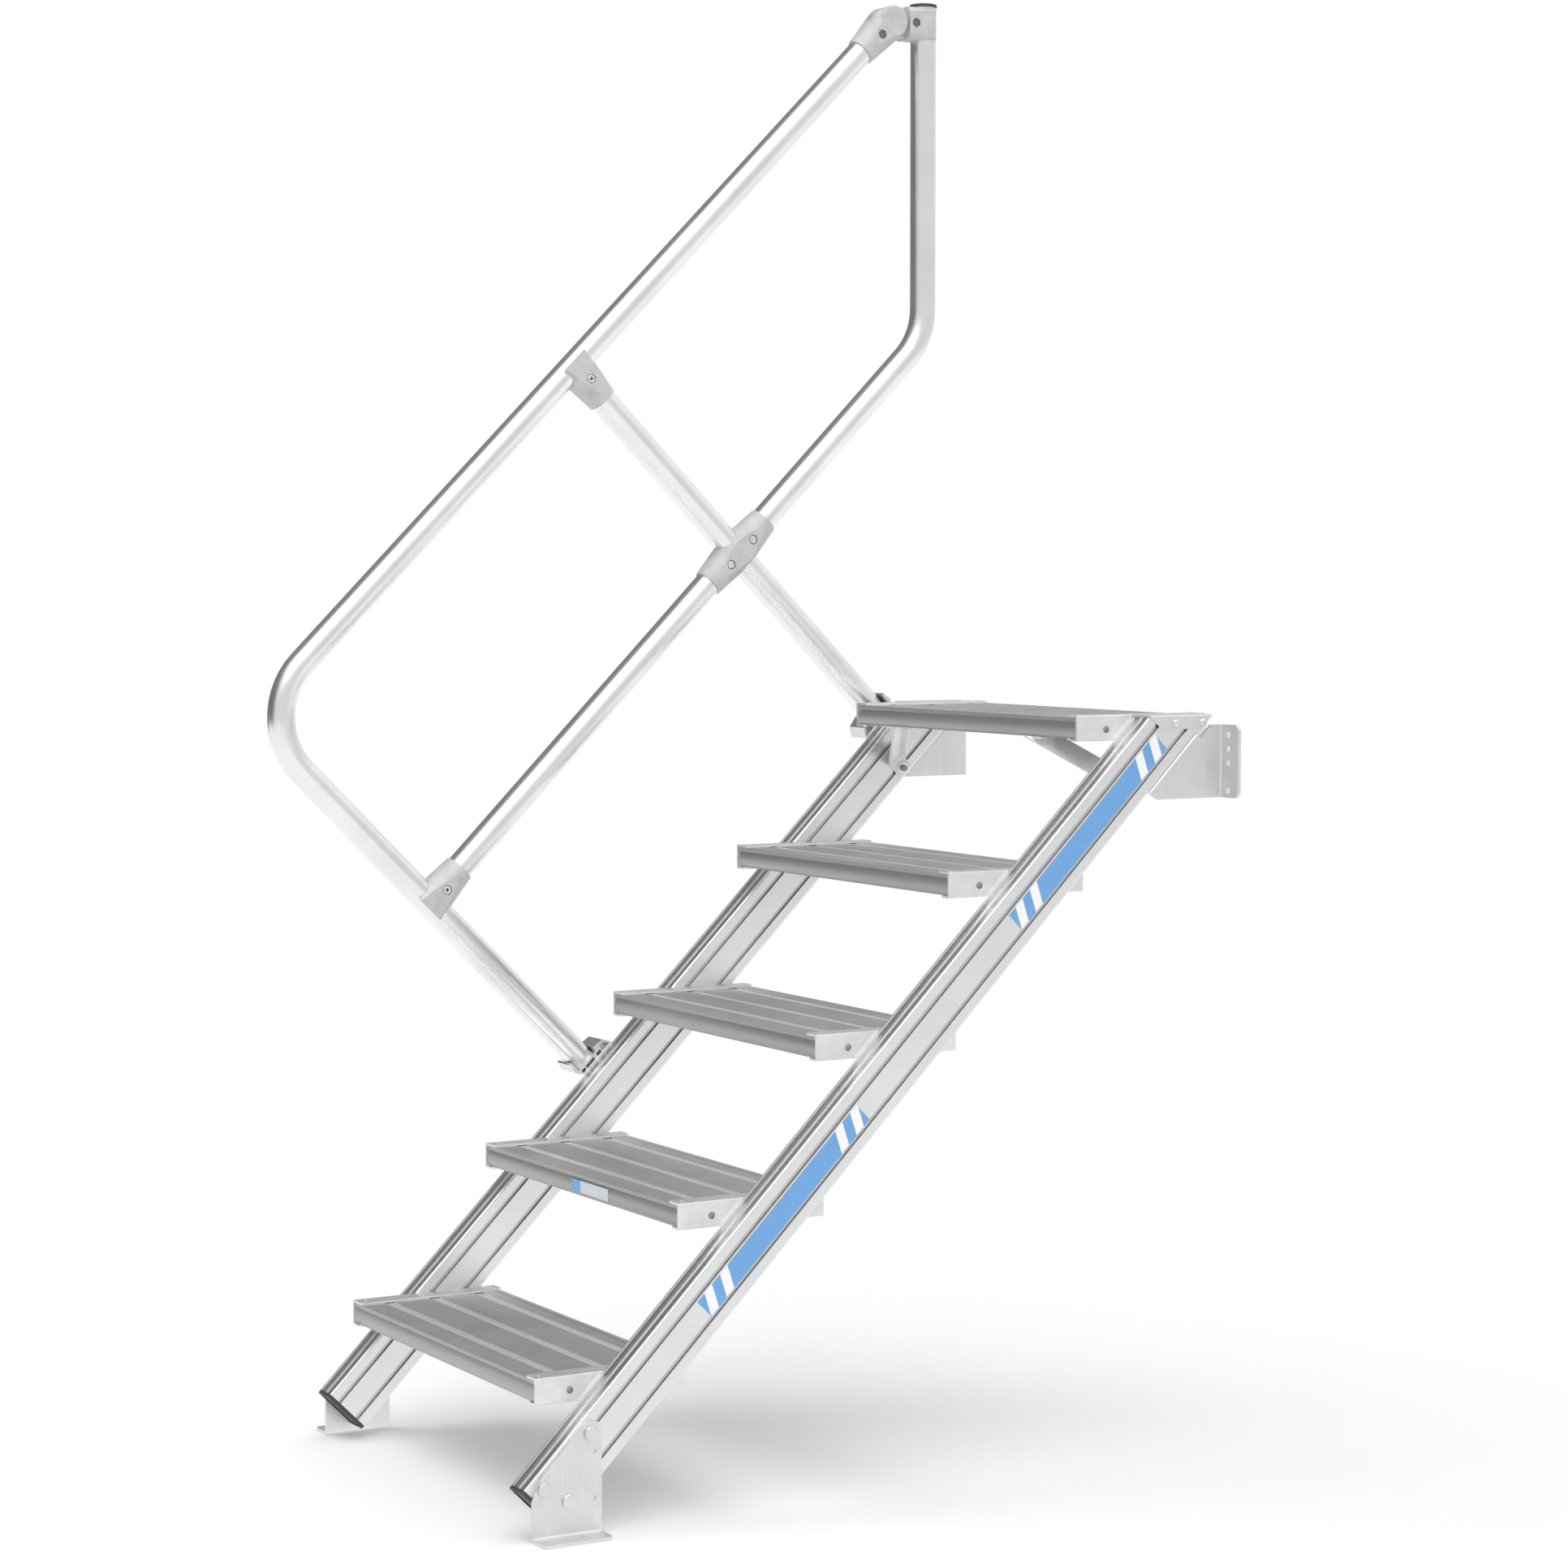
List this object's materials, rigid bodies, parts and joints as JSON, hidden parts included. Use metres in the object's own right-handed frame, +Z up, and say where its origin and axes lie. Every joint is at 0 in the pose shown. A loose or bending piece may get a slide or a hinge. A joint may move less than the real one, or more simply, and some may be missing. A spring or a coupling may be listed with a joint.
{
  "type": "industrial stair",
  "caption": "Straight aluminium stair at 45 degrees with grooved stringers, ribbed treads in folded channels, floor and wall brackets, and a tubular handrail with a knee rail on one side.",
  "frame": {"origin": "middle of the right floor bracket's underside, between its slots, on the ground", "axes": "+Z up, +Y in the direction of climbing, +X to the right as one climbs"},
  "size_m": [0.766, 1.1736, 2.1407],
  "materials": {
    "profile": "satin extruded",
    "tread": "satin extruded",
    "sheet": "satin folded sheet",
    "plate": "satin folded plate",
    "tube": "satin drawn tube",
    "casting": "matt cast",
    "plastic": "matt black"
  },
  "bodies": {
    "root": {"cross_brace_tube": "tube", "cross_fitting": "casting", "end_cap_left": "plastic", "end_cap_right": "plastic", "foot_bracket_left": "plate", "foot_bracket_right": "plate", "handrail_tube": "tube", "knee_rail_lower": "tube", "knee_rail_post": "tube", "lower_tee": "casting", "post_cap": "plastic", "post_collar": "casting", "rail_bracket_lower": "profile", "rail_bracket_upper": "profile", "stringer_left": "profile", "stringer_right": "profile", "swivel_socket": "casting", "top_plate_left": "plate", "top_plate_right": "plate", "tread_1": "tread", "tread_2": "tread", "tread_3": "tread", "tread_4": "tread", "tread_5": "tread", "tread_brace_left": "plate", "tread_brace_right": "plate", "tread_bracket_left_1": "sheet", "tread_bracket_left_2": "sheet", "tread_bracket_left_3": "sheet", "tread_bracket_left_4": "sheet", "tread_bracket_left_5": "sheet", "tread_bracket_right_1": "sheet", "tread_bracket_right_2": "sheet", "tread_bracket_right_3": "sheet", "tread_bracket_right_4": "sheet", "tread_bracket_right_5": "sheet", "upper_tee": "casting", "wall_bracket_left": "plate", "wall_bracket_right": "plate"}
  },
  "joints": []
}
